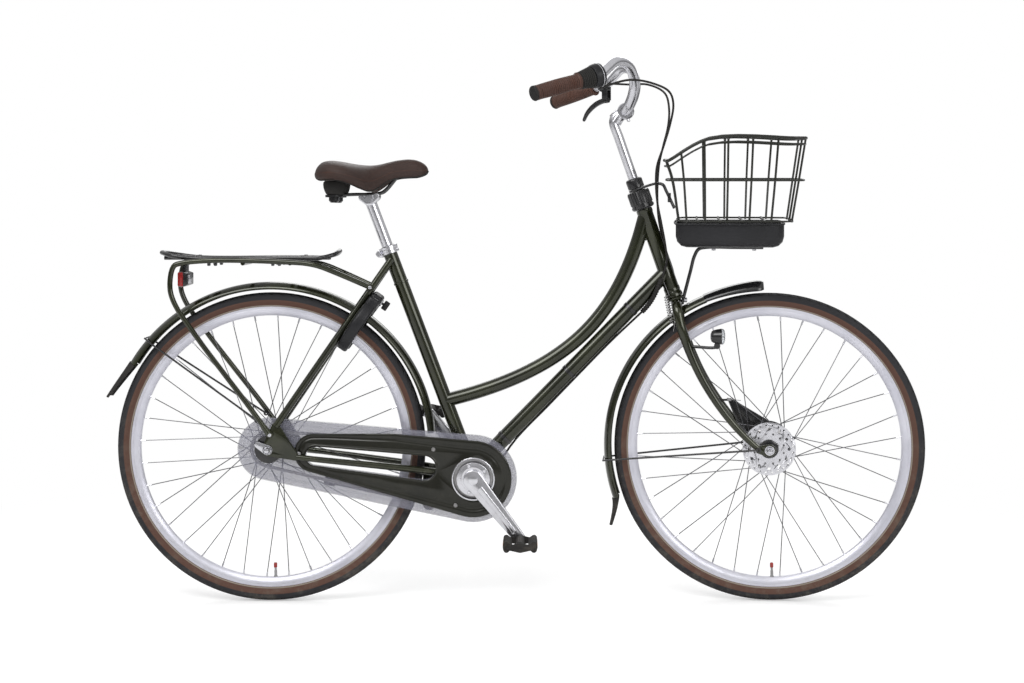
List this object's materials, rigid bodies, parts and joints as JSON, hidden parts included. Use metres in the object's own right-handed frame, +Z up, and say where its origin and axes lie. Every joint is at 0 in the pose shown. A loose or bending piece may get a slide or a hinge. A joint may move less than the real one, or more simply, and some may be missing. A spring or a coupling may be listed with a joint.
{
  "type": "dutch city bike",
  "caption": "Step-through city bicycle with curved twin tubes, full chaincase, mudguards, rear carrier, front wire basket, sprung saddle, ring lock and steerable front end.",
  "frame": {"origin": "ground point in the middle plane, straight below the crank axle, where the bike stands upright on level ground", "axes": "+X towards the front wheel, +Y towards the rider's left, +Z up"},
  "size_m": [1.8617, 0.621, 1.2393],
  "materials": {
    "black": "satin",
    "clear": "clear",
    "leather": "satin",
    "paint": "gloss metallic",
    "red": "gloss",
    "rubber": "matt",
    "silver": "polished",
    "smoke": "translucent",
    "steel": "brushed",
    "wire": "satin"
  },
  "bodies": {
    "root": {"frame": "paint", "headset_collar": "black", "seat_clamp": "steel", "rear_mudguard": "paint", "rear_flap": "black", "rear_guard_stay": "steel", "rear_carrier": "paint", "carrier_platform": "black", "rear_light": "red", "chaincase_shell": "smoke", "chaincase_cover": "paint", "chain": "steel", "right_bracket_cup": "steel", "left_bracket_cup": "steel", "rear_axle": "steel", "ring_lock": "black", "cable_cover": "black"},
    "steering": {"fork": "paint", "headset_cap": "black", "stem": "silver", "handlebar": "silver", "shifter_housing": "black", "right_grip": "leather", "left_grip": "leather", "lever_clamp": "black", "front_mudguard": "paint", "mudguard_nose": "black", "front_flap": "black", "front_guard_stay": "steel", "front_axle": "steel", "front_brake": "black", "basket": "wire", "basket_tray": "black", "basket_bracket": "black", "headlamp": "black", "headlamp_lens": "clear", "brake_cable": "black", "steering_spring": "steel", "shift_cable": "black"},
    "front_wheel": {"front_tyre": "rubber", "front_rim": "silver", "front_hub": "silver"},
    "rear_wheel": {"rear_tyre": "rubber", "rear_rim": "silver", "rear_hub": "steel"},
    "cranks": {"right_crank": "silver", "left_crank": "silver", "chainring": "steel"},
    "right_pedal": {"right_pedal": "rubber"},
    "left_pedal": {"left_pedal": "rubber"},
    "sprocket": {"rear_sprocket": "steel"},
    "kickstand": {"kickstand": "black"},
    "brake_lever": {"brake_lever": "black"},
    "twist_grip": {"twist_grip": "leather"},
    "seat_post": {"seat_post": "silver"},
    "saddle": {"saddle_rails": "silver", "saddle": "leather", "right_elastomer": "rubber", "left_elastomer": "rubber"},
    "lock_bolt": {"lock_bolt": "steel"}
  },
  "joints": [
    {"name": "steering", "type": "hinge", "parent": "root", "child": "steering", "pos_m": [0.455, 0, 0.706], "axis": [-0.3305, 0, 0.9438], "range_deg": [-45, 55], "deforming": ["shift_cable", "brake_cable", "steering_spring"]},
    {"name": "front_wheel_spin", "type": "hinge", "parent": "steering", "child": "front_wheel", "pos_m": [0.67301, -0.00855, 0.35196], "axis": [0.0905, 0.9954, 0.0317], "continuous": true},
    {"name": "rear_wheel_spin", "type": "hinge", "parent": "root", "child": "rear_wheel", "pos_m": [-0.4626, 0, 0.3521], "axis": [0, 1, 0], "continuous": true},
    {"name": "crank_spin", "type": "hinge", "parent": "root", "child": "cranks", "pos_m": [0, 0, 0.285], "axis": [0, 1, 0], "continuous": true},
    {"name": "sprocket_spin", "type": "hinge", "parent": "root", "child": "sprocket", "pos_m": [-0.4626, 0, 0.3521], "axis": [0, 1, 0], "continuous": true},
    {"name": "right_pedal_spin", "type": "hinge", "parent": "cranks", "child": "right_pedal", "pos_m": [0.10606, -0.12, 0.15214], "axis": [0, 1, 0], "continuous": true},
    {"name": "left_pedal_spin", "type": "hinge", "parent": "cranks", "child": "left_pedal", "pos_m": [-0.10606, 0.12, 0.41786], "axis": [0, 1, 0], "continuous": true},
    {"name": "kickstand_swing", "type": "hinge", "parent": "root", "child": "kickstand", "pos_m": [-0.105, 0.05044, 0.213], "axis": [0, -0.9135, -0.4067], "range_deg": [0, 95]},
    {"name": "brake_lever_pull", "type": "hinge", "parent": "steering", "child": "brake_lever", "pos_m": [0.31303, 0.208, 1.1561], "axis": [-0.6488, -0.7606, -0.025], "range_deg": [0, 12], "stiffness_Nm_per_rad": 8, "springref_deg": -2.86},
    {"name": "gear_twist", "type": "hinge", "parent": "steering", "child": "twist_grip", "pos_m": [0.28328, -0.20373, 1.18678], "axis": [-0.8372, -0.4766, -0.2683], "range_deg": [-30, 30]},
    {"name": "seat_height", "type": "slide", "parent": "root", "child": "seat_post", "axis": [-0.3535, 0, 0.9354], "range_m": [-0.07, 0.08]},
    {"name": "saddle_tilt", "type": "hinge", "parent": "seat_post", "child": "saddle", "pos_m": [-0.23895, 0, 0.91736], "axis": [0, 1, 0], "range_deg": [-4, 4]},
    {"name": "lock_close", "type": "hinge", "parent": "root", "child": "lock_bolt", "pos_m": [-0.26255, 0, 0.63325], "axis": [0.8251, 0, -0.565], "range_deg": [0, 75]}
  ],
  "couplings": [
    {"joint": "sprocket_spin", "follows": "crank_spin", "ratio": 2}
  ]
}
